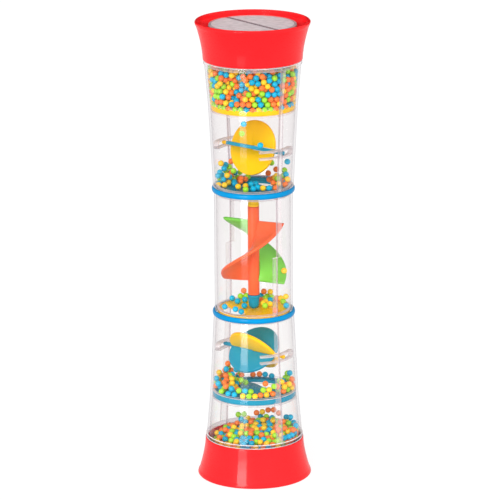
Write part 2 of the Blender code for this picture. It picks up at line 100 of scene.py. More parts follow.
# Sections that the frame doesn't name.
SEAM_ANGLE = math.radians(-53)
SEAM_NORMAL = Vector((math.cos(SEAM_ANGLE + math.pi / 2), math.sin(SEAM_ANGLE + math.pi / 2), 0))
WALL = 1.4 * MM
WAIST_RADIUS = 25.7 * MM
RING_SHOULDER_RADIUS = 26.35 * MM
GROOVE_RADIUS = 25.3 * MM
CAP_COLLAR_RADIUS = 32 * MM
CAP_COLLAR_HEIGHT = 2.6 * MM
IN_CAP_RADIUS = 30.8 * MM
END_DISC_RADIUS = 28.4 * MM
SHOULDER_DROP = 1.9 * MM
RING_HEIGHT = 3.4 * MM
BAFFLE_RIM_HEIGHT = 3.4 * MM
BAFFLE_RIM_WIDTH = 1.5 * MM
BAFFLE_PLATE = 1.8 * MM
RIB_THICKNESS = 1.0 * MM
RIB_DEPTH = 1.3 * MM
LAP_ANGLE = 3.6 * MM / WAIST_RADIUS
LAP_HEIGHT = 0.45 * MM
LAP_SLOPE = 0.35 * MM / WAIST_RADIUS
LAP_LEVELS = (-0.115, -0.060, -0.010, 0.010, 0.060, 0.110)
LAP_SHARES = (1.25, 0.85, 1.0, 0.95, 0.65, 0.45)
LAP_STEP_LINE = 0.4 * MM
SEAM_LINE = 0.36 * MM
DISC_SEAM_LINE = 1.4 * MM
COLLAR_LINE = 0.8 * MM
DISC_RADIUS = 18 * MM
DISC_THICKNESS = 2.3 * MM
PIN_RADIUS = 1.3 * MM
PIN_TIP = 25.7 * MM
PIN_ROOT = 16.5 * MM
SHAFT_RADIUS = 3.75 * MM
BLADE_RADIUS = 21.5 * MM
BLADE_THICKNESS = 2.2 * MM
BEAD_RADIUS = 1.95 * MM


# --- node trees ---

class Nodes:
    """Short way to build the node tree of a material or the world. Each method gives the outputs
    of the node it adds, or the one output that matters."""

    def __init__(self, owner, kind):
        owner.use_nodes = True
        self.owner = owner
        self.tree = owner.node_tree
        self.tree.nodes.clear()
        self.output = self.tree.nodes.new("ShaderNodeOutput" + kind)

    def add(self, kind, inputs=None, **values):
        node = self.tree.nodes.new("ShaderNode" + kind)
        for key, value in values.items():
            setattr(node, key, value)
        for socket, source in (inputs or {}).items():
            if isinstance(source, bpy.types.NodeSocket):
                self.tree.links.new(source, node.inputs[socket])
            else:
                node.inputs[socket].default_value = source
        return node.outputs

    def math(self, operation, *values, **options):
        return self.add("Math", dict(enumerate(values)), operation=operation, **options)[0]

    def noise(self, scale, detail=3.0):
        place = self.add("TexCoord")["Object"]
        return self.add("TexNoise", {"Vector": place, "Scale": scale, "Detail": detail})["Fac"]

    def spread(self, source, low, high, start=0.3, end=0.7):
        """Map a value between start and end onto the range from low to high."""
        return self.add("MapRange", {"Value": source, "From Min": start, "From Max": end,
                                     "To Min": low, "To Max": high})["Result"]

    def tint(self, share, first, second):
        return self.add("Mix", {"Factor": share, "A": first, "B": second}, data_type="RGBA")["Result"]

    def finish(self, shader):
        self.tree.links.new(shader[0], self.output.inputs["Surface"])
        return self.owner


# --- camera, light and stage ---

# The tall softbox at the left, as pieces of one lamp: lowest level, highest level and radiance.
STRIPS = ((-0.27, -0.13, 1.2), (-0.13, 0.0, 4.5), (0.0, 0.12, 8.5), (0.12, 0.7, 12))
STRIP_AZIMUTH = math.radians(-117.2)
STRIP_DISTANCE = 1.0
STRIP_WIDTH = 0.34


def new_object(name, data):
    item = bpy.data.objects.new(name, data)
    bpy.context.scene.collection.objects.link(item)
    return item


def set_camera():
    camera = new_object("camera", bpy.data.cameras.new("camera"))
    camera.location = (0, -2.2338, 0.7452)
    aim = Vector((0, 0, 0.15215))
    camera.rotation_euler = (aim - camera.location).to_track_quat("-Z", "Y").to_euler()
    camera.rotation_euler.rotate_axis("Z", -0.0048)
    camera.data.sensor_width = 36
    camera.data.lens = 254.63
    camera.data.shift_x = -0.00725
    camera.data.clip_end = 50
    bpy.context.scene.camera = camera


def add_strip_light(low, high, radiance):
    """A tall softbox that only shows as a reflection."""
    light = bpy.data.lights.new("strip", "AREA")
    light.shape = "RECTANGLE"
    light.size = STRIP_WIDTH
    light.size_y = high - low
    light.energy = radiance * math.pi * STRIP_WIDTH * (high - low)
    lamp = new_object("strip", light)
    middle = (low + high) / 2
    place = Vector((*polar(STRIP_DISTANCE, STRIP_AZIMUTH), middle))
    lamp.location = place
    lamp.rotation_euler = (Vector((0, 0, middle)) - place).to_track_quat("-Z", "Y").to_euler()
    lamp.visible_camera = False
    lamp.visible_diffuse = False
    lamp.visible_transmission = False


def add_sun(name, direction, strength, spread):
    light = bpy.data.lights.new(name, "SUN")
    light.energy = strength
    light.angle = math.radians(spread)
    lamp = new_object(name, light)
    lamp.rotation_euler = Vector(direction).to_track_quat("Z", "Y").to_euler()
    lamp.visible_glossy = False


def plain_material(name, grey, glow=0.0):
    """Matt grey, with an even glow for the floor."""
    nodes = Nodes(bpy.data.materials.new(name), "Material")
    return nodes.finish(nodes.add("BsdfPrincipled", {
        "Base Color": (grey, grey, grey, 1),
        "Roughness": 0.9,
        "Specular IOR Level": 0.0,
        "Emission Color": (1, 1, 1, 1),
        "Emission Strength": glow,
    }))


def add_plane(name, corners, material):
    """One flat face that belongs to the studio."""
    mesh = bpy.data.meshes.new(name)
    mesh.from_pydata(corners, [], [(0, 1, 2, 3)])
    mesh.materials.append(material)
    plane = new_object(name, mesh)
    return plane


def add_floor():
    far, level = 12, -0.0001
    corners = [(-far, -far, level), (far, -far, level), (far, far, level), (-far, far, level)]
    floor = add_plane("floor", corners, plain_material("white_floor", 0.18, 0.87))
    floor.visible_glossy = False


def add_dark_card():
    """A black card behind the object that only shows as a reflection, so that a glossy surface seen
    at a slant keeps its colour."""
    corners = [(-0.9, 1.0, 0.33), (0.9, 1.0, 0.33), (0.9, 1.0, 1.4), (-0.9, 1.0, 1.4)]
    card = add_plane("dark_card", corners, plain_material("black_card", 0.0))
    card.visible_camera = False
    card.visible_diffuse = False
    card.visible_transmission = False
    card.visible_shadow = False


def set_world():
    """An even white studio that is darker low in front and straight overhead."""
    nodes = Nodes(bpy.data.worlds.new("studio"), "World")
    direction = nodes.add("TexCoord")["Generated"]
    low_front = nodes.add("VectorMath", {0: direction, 1: (0, 0.3, 1)}, operation="DOT_PRODUCT")["Value"]
    height = nodes.add("SeparateXYZ", {0: direction})["Z"]
    shade = nodes.math("MULTIPLY", nodes.spread(low_front, 0.2, 1.0, -0.735, -0.365),
                       nodes.spread(height, 1.0, 0.5, 0.45, 0.9))
    background = nodes.add("Background", {"Color": shade, "Strength": 0.8})
    bpy.context.scene.world = nodes.finish(background)


def light_stage():
    bpy.context.scene.view_settings.view_transform = "Standard"
    bpy.context.scene.cycles.transparent_max_bounces = 64
    set_world()
    add_sun("key", (-0.3, -1.0, 0.5), 2.6, 40)
    add_sun("fill", (0.8, -0.8, 0.35), 0.9, 60)
    for strip in STRIPS:
        add_strip_light(*strip)
    add_floor()
    add_dark_card()


# --- materials ---

def plastic(name, colour, roughness, gloss, coat, depth=0.06, islands=0.0):
    """Injection-moulded plastic: faint flow clouds in the colour, uneven gloss, and the slight
    waviness of a moulded skin. Islands vary the shade of each separate bead."""
    nodes = Nodes(bpy.data.materials.new(name), "Material")
    tone = nodes.spread(nodes.noise(90), 1 - depth, 1 + depth)
    if islands:
        random = nodes.add("NewGeometry")["Random Per Island"]
        piece_tone = nodes.spread(random, 1 - islands, 1 + islands, 0, 1)
        tone = nodes.math("MULTIPLY", tone, piece_tone)
    tinted = nodes.add("VectorMath", {0: colour, "Scale": tone}, operation="SCALE")[0]
    grain = nodes.noise(1400, 4.0)
    relief = nodes.math("MULTIPLY_ADD", grain, 0.12, nodes.noise(160, 2.0))
    bump = nodes.add("Bump", {"Height": relief, "Strength": 0.18, "Distance": 0.0003})
    return nodes.finish(nodes.add("BsdfPrincipled", {
        "Base Color": tinted,
        "Roughness": nodes.spread(grain, roughness * 0.8, roughness * 1.3),
        "Normal": bump["Normal"],
        "Specular IOR Level": gloss,
        "Coat Weight": coat,
        "Coat Roughness": 0.04,
    }))


def clear_plastic(name):
    """Clear styrene. What is behind shows through, with painted shade that greys the wall a little where
    it is seen at a slant. A hazy value on the faces clouds laps and the end discs and also paints white
    highlight lines on ledges, ribs and the collar, and an edge value paints shade on the narrow faces
    of steps and seams, where the light is bent away."""
    nodes = Nodes(bpy.data.materials.new(name), "Material")
    facing = nodes.add("LayerWeight", {"Blend": 0.5})["Facing"]
    haze_and_highlight = nodes.add("Attribute", attribute_name="haze_and_highlight")["Fac"]
    edge = nodes.add("Attribute", attribute_name="edge")["Fac"]

    place = nodes.add("TexCoord")["Object"]
    height = nodes.add("SeparateXYZ", {0: place})["Z"]
    greyer = nodes.spread(height, 0, 1, 0.06, 0.2)
    wall = nodes.tint(greyer, (0.992, 0.988, 0.985, 1), (0.972, 0.963, 0.963, 1))
    # Painted shade: the wall turns greyer where it is seen at a slant.
    slant_shaded = nodes.tint(nodes.math("POWER", facing, 2.5), wall, (0.94, 0.925, 0.925, 1))
    # Painted shade: the edge value tints the narrow faces of steps and seams dark mauve.
    edge_shaded = nodes.tint(edge, slant_shaded, (0.46, 0.36, 0.41, 1))
    see_through = nodes.add("BsdfTransparent", {"Color": edge_shaded})[0]

    waves = nodes.noise(120, 2.0)
    bump = nodes.add("Bump", {"Height": waves, "Strength": 0.08, "Distance": 0.0003})
    gloss = nodes.add("BsdfGlossy", {
        "Color": (0.93, 0.92, 0.94, 1),
        "Roughness": nodes.spread(waves, 0.03, 0.07),
        "Normal": bump["Normal"],
    })[0]
    mirror = nodes.math("MULTIPLY_ADD", nodes.math("POWER", facing, 5.0), 0.8, 0.02)
    clear = nodes.add("MixShader", {0: mirror, 1: see_through, 2: gloss})[0]

    # The hazy value is partly real cloudiness of the laps and end discs and partly a painted highlight:
    # white lines on ledges, ribs and the collar.
    streaks = nodes.spread(nodes.noise(260, 5.0), 0.85, 1.15)
    haze_and_highlight_share = nodes.math("MULTIPLY", haze_and_highlight, streaks, use_clamp=True)
    cloud = nodes.add("BsdfTranslucent", {"Color": (0.88, 0.85, 0.88, 1)})[0]
    skin = nodes.add("BsdfDiffuse", {"Color": (0.90, 0.81, 0.83, 1)})[0]
    milk_and_highlight = nodes.add("MixShader", {0: 0.8, 1: cloud, 2: skin})[0]
    return nodes.finish(nodes.add("MixShader", {0: haze_and_highlight_share, 1: clear, 2: milk_and_highlight}))


def make_materials():
    finishes = {"clear": clear_plastic("clear_styrene")}
    # Slot, colour, roughness, gloss and coat.
    for slot, *look in (
        ("cap_red", (0.88, 0.012, 0.016), 0.3, 0.06, 0.3),
        ("ring_blue", (0.0, 0.235, 0.52), 0.25, 0.06, 0.1),
        ("inner_yellow", (1.0, 0.57, 0.0), 0.25, 0.15, 0.0),
        ("inner_teal", (0.012, 0.28, 0.43), 0.25, 0.15, 0.0),
        ("spiral_orange", (0.90, 0.13, 0.04), 0.28, 0.15, 0.0),
        ("spiral_green", (0.19, 0.60, 0.07), 0.28, 0.15, 0.0),
    ):
        finishes[slot] = plastic(slot, *look)
    # Slot, colour, and how much the shade differs from bead to bead.
    for slot, colour, islands in (
        ("bead_orange", (0.97, 0.21, 0.035), 0.10),
        ("bead_yellow", (1.0, 0.60, 0.02), 0.10),
        ("bead_green", (0.35, 0.72, 0.03), 0.12),
        ("bead_blue", (0.0, 0.43, 0.68), 0.14),
    ):
        finishes[slot] = plastic(slot, colour, 0.3, 0.3, 0.0, depth=0.03, islands=islands)
    return finishes


# --- mesh building ---

def new_piece(name, shape, slot, body=None, replaced=(), sharp=35):
    """File a bmesh as a visible piece with its material, body and the nodes it stands for."""
    mesh = bpy.data.meshes.new(name)
    shape.to_mesh(mesh)
    shape.free()
    return file_mesh(name, mesh, slot, body, replaced, sharp)


def file_mesh(name, mesh, slot, body=None, replaced=(), sharp=35):
    piece = new_object(name, mesh)
    if slot is None:
        return piece
    mesh.materials.clear()
    mesh.materials.append(materials[slot])
    mesh.shade_smooth()
    mesh.set_sharp_from_angle(angle=math.radians(sharp))
    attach(piece, body)
    if replaced:
        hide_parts(*replaced)
    return piece


def rounded(outline, radius, closed=True):
    """Round the corners of an outline of (radius, height) points with small arcs."""
    points = [Vector(point) for point in outline]
    count = len(points)
    result = []
    for i, corner in enumerate(points):
        if not closed and i in (0, count - 1):
            result.append(tuple(corner))
            continue
        before = points[i - 1] - corner
        after = points[(i + 1) % count] - corner
        turn = before.angle(after)
        if turn > math.radians(172):
            result.append(tuple(corner))
            continue
        reach = min(radius / math.tan(turn / 2), 0.45 * before.length, 0.45 * after.length)
        start = corner + before.normalized() * reach
        end = corner + after.normalized() * reach
        for step in range(FILLET_STEPS + 1):
            t = step / FILLET_STEPS
            result.append(tuple(start * (1 - t) ** 2 + corner * 2 * t * (1 - t) + end * t * t))
    return result


def ring_of(shape, radius, height, angles):
    if radius < 1e-7:
        return [shape.verts.new((0, 0, height))] * len(angles)
    return [shape.verts.new((*polar(radius, a), height)) for a in angles]


def even_angles(steps=ROUND_STEPS):
    return [2 * math.pi * i / steps for i in range(steps)]


def add_lathe(shape, outline, closed=True, angles=None):
    """Turn an outline of (radius, height) points, given down the outer side, about Z."""
    angles = angles or even_angles()
    rings = [ring_of(shape, radius, height, angles) for radius, height in outline]
    pairs = list(zip(rings, rings[1:]))
    if closed:
        pairs.append((rings[-1], rings[0]))
    for upper, lower in pairs:
        for i in range(len(angles)):
            j = (i + 1) % len(angles)
            corners = list(dict.fromkeys((upper[i], lower[i], lower[j], upper[j])))
            if len(corners) > 2:
                shape.faces.new(corners)
    return shape


def lathe(outline, closed=True, angles=None):
    return add_lathe(bmesh.new(), outline, closed, angles)


def add_sweep(shape, sections):
    """Join closed sections of 3D points into a capped solid, and turn its faces outward."""
    rings = [[shape.verts.new(point) for point in section] for section in sections]
    for first, second in zip(rings, rings[1:]):
        for i in range(len(first)):
            j = (i + 1) % len(first)
            shape.faces.new((first[i], first[j], second[j], second[i]))
    shape.faces.new(list(reversed(rings[0])))
    shape.faces.new(rings[-1])
    bmesh.ops.recalc_face_normals(shape, faces=shape.faces)
    return shape


def turned(outline, radius, steps=ROUND_STEPS, level=0.0):
    """Round the corners of an outline that starts and ends on the axis, and turn it about Z."""
    outline = raised(rounded(outline, radius, closed=False), level)
    return lathe(outline, closed=False, angles=even_angles(steps))


def raised(outline, level=MIDDLE):
    return [(radius, level + height) for radius, height in outline]


def mirrored(upper):
    return upper + [(radius, -height) for radius, height in reversed(upper)]


def flipped(outline):
    return [(radius, -height) for radius, height in reversed(outline)]


def polar(radius, angle):
    return (radius * math.cos(angle), radius * math.sin(angle))


def cut(piece, operation, cutter, width=0.25 * MM, last=True):
    """Boolean with a throwaway cutter, and small round edges once the last cut is made."""
    modifier = piece.modifiers.new("cut", "BOOLEAN")
    modifier.operation = operation
    modifier.solver = "EXACT"
    modifier.object = cutter
    if last and width:
        bevel = piece.modifiers.new("edges", "BEVEL")
        bevel.width = width
        bevel.segments = 2
        bevel.limit_method = "ANGLE"
        bevel.angle_limit = math.radians(50)
        bevel.use_clamp_overlap = True
    bpy.context.view_layer.update()
    graph = bpy.context.evaluated_depsgraph_get()
    mesh = bpy.data.meshes.new_from_object(piece.evaluated_get(graph), depsgraph=graph)
    piece.modifiers.clear()
    old = piece.data
    piece.data = mesh
    bpy.data.meshes.remove(old)
    bpy.data.objects.remove(cutter)


def prism(outline, low, high):
    """Upright prism of (x, y) points, as a throwaway cutter."""
    shape = add_sweep(bmesh.new(), [[(x, y, z) for x, y in outline] for z in (low, high)])
    return new_piece("cutter", shape, None)


# --- clear half shells ---

def tube_outer_outline():
    groove = RING_HEIGHT / 2 + GAP
    disc, top = END_DISC_RADIUS, END_DISC_LEVEL
    collar, edge = CAP_COLLAR_RADIUS, CAP_EDGE_LEVEL
    shoulder = top - SHOULDER_DROP
    foot = edge - CAP_COLLAR_HEIGHT
    return mirrored([
        (0, top), (disc - 1.6 * MM, top), (disc - 1.3 * MM, top), (disc, top), (disc, shoulder),
        (IN_CAP_RADIUS, shoulder), (IN_CAP_RADIUS, edge - GAP),
        (collar, edge - GAP), (collar, edge - COLLAR_LINE), (collar, foot),
        (collar - 0.6 * MM, foot - 0.3 * MM),
        (OUTER_SLOT_RADIUS + WALL, OUTER_BAFFLE_LEVEL),
        (RING_SHOULDER_RADIUS, RING_LEVEL + groove),
        (GROOVE_RADIUS, RING_LEVEL + groove),
        (GROOVE_RADIUS, RING_LEVEL - groove),
        (WAIST_RADIUS, RING_LEVEL - groove),
        (WAIST_RADIUS, 0.15 * MM),
    ])


def rib_pair(level, slot_radius, wall_above, wall_below):
    near = BAFFLE_RIM_HEIGHT / 2 + GAP
    far = near + RIB_THICKNESS
    rib = slot_radius - RIB_DEPTH
    return [
        (wall_above, level + far), (rib, level + far), (rib, level + near), (slot_radius, level + near),
        (slot_radius, level - near), (rib, level - near), (rib, level - far), (wall_below, level - far),
    ]


def tube_inner_outline():
    disc, cap = END_DISC_RADIUS - WALL, IN_CAP_RADIUS - WALL
    shoulder = END_DISC_LEVEL - SHOULDER_DROP - WALL
    upper = [(0, END_DISC_LEVEL - WALL), (disc, END_DISC_LEVEL - WALL), (disc, shoulder),
             (cap, shoulder), (cap, CAP_EDGE_LEVEL - 9 * MM)]
    upper += rib_pair(OUTER_BAFFLE_LEVEL, OUTER_SLOT_RADIUS,
                      OUTER_SLOT_RADIUS + 0.2 * MM, OUTER_SLOT_RADIUS - 0.2 * MM)
    upper += rib_pair(INNER_BAFFLE_LEVEL, INNER_SLOT_RADIUS,
                      RING_SHOULDER_RADIUS - WALL, WAIST_RADIUS - WALL)
    return list(reversed(mirrored(upper)))


def wall_inner_radius(z):
    """Radius of the inside of the tube at a height, between the ribs."""
    levels = [0, INNER_BAFFLE_LEVEL, INNER_BAFFLE_LEVEL + 3 * MM, OUTER_BAFFLE_LEVEL,
              CAP_EDGE_LEVEL - 9 * MM]
    radii = [WAIST_RADIUS - WALL, WAIST_RADIUS - WALL, RING_SHOULDER_RADIUS - WALL, OUTER_SLOT_RADIUS,
             IN_CAP_RADIUS - WALL]
    return np.interp(np.abs(np.asarray(z) - MIDDLE), levels, radii)


def tube_angles():
    """Even steps round the tube, with close pairs where the seam laps begin and end."""
    edges = []
    for seam in (SEAM_ANGLE, SEAM_ANGLE + math.pi):
        for edge in (-LAP_ANGLE, LAP_ANGLE):
            edges += [seam + edge, seam + edge + math.copysign(LAP_SLOPE, edge)]
        edges += [seam - LAP_SLOPE, seam + LAP_SLOPE]
    edges = sorted(angle % (2 * math.pi) for angle in edges)
    kept = [a for a in even_angles() if min(abs(a - e) for e in edges) > 0.008]
    return sorted(kept + edges)


def lap_width(level):
    """The lap's angle at a height from the middle: it narrows towards the top."""
    return LAP_ANGLE * float(np.interp(level, LAP_LEVELS, LAP_SHARES))


def beyond_seam(point, level):
    """The nearer seam's side, and how far round a point is from it towards its lap, which is on the
    rear half above the middle and on the front half below."""
    angle = math.atan2(point.y, point.x)
    found = []
    for seam, towards in ((SEAM_ANGLE, 1), (SEAM_ANGLE + math.pi, -1)):
        side = math.copysign(1, level) * towards
        found.append((side, ((angle - seam + math.pi) % (2 * math.pi) - math.pi) * side))
    return min(found, key=lambda pair: abs(pair[1]))


def raise_laps(shape):
    """The half shells overlap at the seam: a raised band runs beside it."""
    lap = LAP_ANGLE
    top = CAP_EDGE_LEVEL - CAP_COLLAR_HEIGHT - 0.5 * MM
    foot = lap + LAP_SLOPE
    for vert in shape.verts:
        level = vert.co.z - MIDDLE
        radius = vert.co.xy.length
        if abs(level) > top or radius < wall_inner_radius(vert.co.z) + WALL / 2:
            continue
        if abs(abs(level) - RING_LEVEL) < RING_HEIGHT / 2 + 2 * GAP:
            continue
        side, past = beyond_seam(vert.co, level)
        width = lap_width(level)
        turn = 0
        if -0.0001 < past < lap + 0.0001:
            vert.co.xy *= (radius + LAP_HEIGHT) / radius
            turn = past * width / lap - past
        elif lap < past < 3 * lap:
            turn = (width - lap) * (3 * lap - past) / (3 * lap - foot)
        x, y = vert.co.xy
        cosine, sine = polar(1, turn * side)
        vert.co.x = x * cosine - y * sine
        vert.co.y = x * sine + y * cosine


def channel_sections(level, side):
    """The U-shaped rib on the wall that an axle pin runs in, as sections along its path."""
    centre = MIDDLE + level
    start = AXLE_ANGLE + side + math.radians(-41)
    stop = AXLE_ANGLE + side + math.radians(21)
    half = PIN_RADIUS + GAP + 0.6 * MM
    wall = float(wall_inner_radius(centre)) + 0.05 * MM
    inner = 23 * MM
    path = [(start + (stop - start) * i / 24, half) for i in range(25)]
    for i in range(1, 12):
        turn = math.pi * i / 12
        path.append((stop + half * math.sin(turn) / inner, half * math.cos(turn)))
    path += [(angle, -half) for angle, _ in reversed(path[:25])]
    thick = 0.55 * MM
    sections = []
    for i, (angle, height) in enumerate(path):
        before = path[max(i - 1, 0)]
        after = path[min(i + 1, len(path) - 1)]
        along = Vector(((after[0] - before[0]) * inner, after[1] - before[1])).normalized()
        across = Vector((-along.y, along.x)) * thick
        section = []
        for radius, push in ((wall, 1), (inner + 0.3 * MM, 1), (inner, 0.5), (inner, -0.5),
                             (inner + 0.3 * MM, -1), (wall, -1)):
            a = angle + across.x * push / inner
            section.append((*polar(radius, a), centre + height + across.y * push))
        sections.append(section)
    return sections


def mark(shape, look):
    """Store how hazy each face looks, which also paints white highlight lines, and how much painted
    shade it has, for the sides of steps and seams.
    """
    haze_and_highlight = shape.faces.layers.float.new("haze_and_highlight")
    edge = shape.faces.layers.float.new("edge")
    for face in shape.faces:
        face[haze_and_highlight], face[edge] = look(face)


def channel_look(face):
    # Painted light by facing: downward faces get painted shade, upward faces a white painted highlight.
    return (0.15, 0.25) if face.normal.z < 0 else (0.45, 0.05)


def shell_look(face):
    """The hazy value and the painted light of a face of a shell, by where it lies: white painted
    highlight lines on ledges, ribs and the collar line, and painted shade at the seams, the lap's step,
    the end disc's seam and rim and the lower collar, a little different on the upper and lower halves.
    """
    centre = face.calc_center_median()
    upper = centre.z > MIDDLE
    level = abs(centre.z - MIDDLE)
    radius = centre.xy.length
    outside = radius > wall_inner_radius(centre.z) + WALL / 2
    sideways = abs(face.normal.z)
    from_seam = abs(centre.dot(SEAM_NORMAL))
    collar = CAP_EDGE_LEVEL - CAP_COLLAR_HEIGHT - 0.5 * MM
    # Parting faces: some haze and painted shade.
    if abs(face.normal.dot(SEAM_NORMAL)) > 0.97 and from_seam < GAP:
        return 0.25, 0.35
    if level > END_DISC_LEVEL - 2 * WALL and radius < END_DISC_RADIUS + MM:
        # A painted dark line along the seam across the end disc, and painted shade on the disc's rim.
        if from_seam < DISC_SEAM_LINE and level > END_DISC_LEVEL - WALL / 2:
            return 0.15, 0.9
        at_rim = sideways < 0.5 or radius > END_DISC_RADIUS - 1.5 * MM
        return (0.35, 0.55) if at_rim else (0.65, 0.1)
    # Faces that face up or down, on ledges and ribs: white painted highlight lines, with a little
    # painted shade on the upper collar ledge.
    if sideways > 0.4:
        if level > collar - MM:
            return (0.5, 0.15) if upper else (0.85, 0.0)
        return 0.8, 0.0
    if not outside:
        return 0.0, 0.0
    if level > collar:
        # The collar line is a white painted highlight; the collar below it is hazy on the upper half and
        # takes painted shade on the lower.
        if CAP_EDGE_LEVEL - COLLAR_LINE < level < CAP_EDGE_LEVEL:
            return 0.75, 0.0
        if level < CAP_EDGE_LEVEL:
            return (0.22, 0.1) if upper else (0.05, 0.6)
        return 0.0, 0.0
    past = beyond_seam(centre, centre.z - MIDDLE)[1]
    width = lap_width(centre.z - MIDDLE)
    # A painted dark line beside the seam and at the lap's step, and haze on the lap.
    if from_seam < SEAM_LINE:
        return 0.12, 0.45
    if 0 < past < width:
        return (0.30 if upper else 0.22), 0.10
    if width <= past < width + LAP_STEP_LINE / WAIST_RADIUS:
        return 0.2, 0.6
    return 0.0, 0.0


def slice_at(shape, place, direction, drop=True):
    """Cut a shape along a plane, drop what lies beyond it, and return the cut's edges."""
    result = bmesh.ops.bisect_plane(shape, geom=[*shape.verts, *shape.edges, *shape.faces],
                                    plane_co=place, plane_no=direction, clear_outer=drop)
    return [item for item in result["geom_cut"] if isinstance(item, bmesh.types.BMEdge)]


def add_channel(shape, level, turn, place, direction):
    """Add one half shell's share of a wheel's axle channel."""
    channel = add_sweep(bmesh.new(), channel_sections(level, turn))
    bmesh.ops.holes_fill(channel, edges=slice_at(channel, place, direction), sides=0)
    channel.normal_update()
    mark(channel, channel_look)
    mesh = bpy.data.meshes.new("channel")
    channel.to_mesh(mesh)
    channel.free()
    shape.from_mesh(mesh)
    bpy.data.meshes.remove(mesh)


def half_shells():
    angles = tube_angles()
    for name, side in (("shell_half_rear", 1), ("shell_half_front", -1)):
        shape = bmesh.new()
        outer = rounded(tube_outer_outline(), 0.3 * MM, closed=False)
        inner = rounded(tube_inner_outline(), 0.2 * MM, closed=False)
        add_lathe(shape, raised(outer), closed=False, angles=angles)
        raise_laps(shape)
        add_lathe(shape, raised(inner), closed=False, angles=angles)
        seam = SEAM_NORMAL * side * GAP / 2
        beyond = -SEAM_NORMAL * side
        rim = slice_at(shape, seam, beyond)
        bmesh.ops.triangle_fill(shape, edges=rim, use_beauty=True, normal=beyond)
        slice_at(shape, SEAM_NORMAL * side * DISC_SEAM_LINE, beyond, drop=False)
        shape.normal_update()
        mark(shape, shell_look)
        for level in (WHEEL_LEVEL, -WHEEL_LEVEL):
            for turn in (0, math.pi):
                add_channel(shape, level, turn, seam, beyond)
        bmesh.ops.recalc_face_normals(shape, faces=shape.faces)
        new_piece("clear_" + name, shape, "clear", "tube", (name,), sharp=28)


# --- caps and rings ---

def end_caps():
    top = MIDDLE
    recess = 3.3 * MM
    flange_under = END_DISC_LEVEL - SHOULDER_DROP + GAP
    bore = IN_CAP_RADIUS + GAP
    flare = [(37.2, 2.1), (36.5, 3.4), (35.7, 6), (34.9, 9), (33.9, 13.2), (33.1, 17.4), (32.55, 21.5)]
    outline = [(RIM_RADIUS - 0.7 * MM, top), (RIM_RADIUS, top - 0.8 * MM)]
    outline += [(radius * MM, top - depth * MM) for radius, depth in flare]
    outline += [
        (32.3 * MM, CAP_EDGE_LEVEL),
        (bore, CAP_EDGE_LEVEL),
        (bore, top - 20 * MM),
        (33.3 * MM, top - 9 * MM),
        (34.2 * MM, flange_under),
        (END_DISC_RADIUS + GAP, flange_under),
        (END_DISC_RADIUS + GAP, top - recess),
        (35.2 * MM, top - recess),
        (35.2 * MM, top - 0.4 * MM),
        (35.7 * MM, top),
    ]
    outline = rounded(outline, 0.5 * MM)
    new_piece("red_top_cap", lathe(raised(outline)), "cap_red", "tube", ("top_cap",))
    new_piece("red_base_cap", lathe(raised(flipped(outline))), "cap_red", "tube", ("base_cap",))


def clamping_rings():
    half = RING_HEIGHT / 2
    outer = node_radius("upper_ring")
    inner = GROOVE_RADIUS + GAP
    bulge = outer - 26.1 * MM
    arc = [(26.1 * MM + bulge * math.cos(a), half * math.sin(a))
           for a in (math.pi / 2 - math.pi * i / 14 for i in range(15))]
    outline = [(inner, half), *arc, (inner, -half)]
    for name, sign in (("upper_ring", 1), ("lower_ring", -1)):
        shape = lathe(raised(outline, MIDDLE + sign * RING_LEVEL))
        new_piece("blue_" + name, shape, "ring_blue", "tube", (name,))


# --- baffles ---

def drop_outline(outer, width, start, sweep, steps=28):
    """The drop opening: a curved slot that widens from a point to a round end."""
    angles = [start + sweep * i / steps for i in range(steps + 1)]
    outside = [polar(outer, a) for a in angles]
    inside = []
    for i in range(steps, 0, -1):
        share = i / steps
        inside.append(polar(outer - width * math.sin(share * math.pi / 2) ** 0.6, angles[i]))
    end = angles[-1]
    middle = Vector(polar(outer - width / 2, end))
    half_turn = math.copysign(math.pi, sweep)
    bulge = [tuple(middle + Vector(polar(width / 2, end + half_turn * i / 14))) for i in range(1, 14)]
    return outside + bulge + inside


def baffle_outline(radius, outward):
    half = BAFFLE_RIM_HEIGHT / 2
    inside = radius - BAFFLE_RIM_WIDTH
    outline = [(0, BAFFLE_PLATE - half), (inside, BAFFLE_PLATE - half), (inside, half),
               (radius, half), (radius, -half), (0, -half)]
    return outline if outward > 0 else flipped(outline)


def baffles():
    # Node, level, radius of its slot, the opening's width, slot, and the opening's start and sweep.
    rows = (
        ("top_baffle", OUTER_BAFFLE_LEVEL, OUTER_SLOT_RADIUS, 14 * MM, "inner_yellow", 200, -75),
        ("upper_baffle", INNER_BAFFLE_LEVEL, INNER_SLOT_RADIUS, 11 * MM, "inner_teal", 115, -70),
        ("lower_baffle", -INNER_BAFFLE_LEVEL, INNER_SLOT_RADIUS, 11 * MM, "inner_yellow", 150, 78),
        ("bottom_baffle", -OUTER_BAFFLE_LEVEL, OUTER_SLOT_RADIUS, 14 * MM, "inner_teal", 112, -75),
    )
    deep = BAFFLE_RIM_HEIGHT
    for name, level, slot_radius, width, slot, start, sweep in rows:
        centre = MIDDLE + level
        shape = turned(baffle_outline(slot_radius - GAP, level), 0.3 * MM, level=centre)
        disc = new_piece("pierced_" + name, shape, slot, "tube", (name,))
        opening = drop_outline(20.8 * MM, width, math.radians(start), math.radians(sweep))
        has_pivot = abs(level) < OUTER_BAFFLE_LEVEL - MM
        cut(disc, "DIFFERENCE", prism(opening, centre - deep, centre + deep), last=not has_pivot)
        if has_pivot:
            hole = [polar(1.9 * MM, a) for a in even_angles(PIN_STEPS)]
            cut(disc, "DIFFERENCE", prism(hole, centre - deep, centre + deep))
        disc.data.set_sharp_from_angle(angle=math.radians(35))


# --- spiral rotor ---

BLADE_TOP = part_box("spiral_green_blade")[1].z - BLADE_THICKNESS / 2
BLADE_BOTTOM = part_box("spiral_green_blade")[0].z + BLADE_THICKNESS / 2
BLADE_TURN = math.radians(182)
ORANGE_BLADE_ANGLE = math.radians(-22)
PIVOT_LENGTH = 2.4 * MM


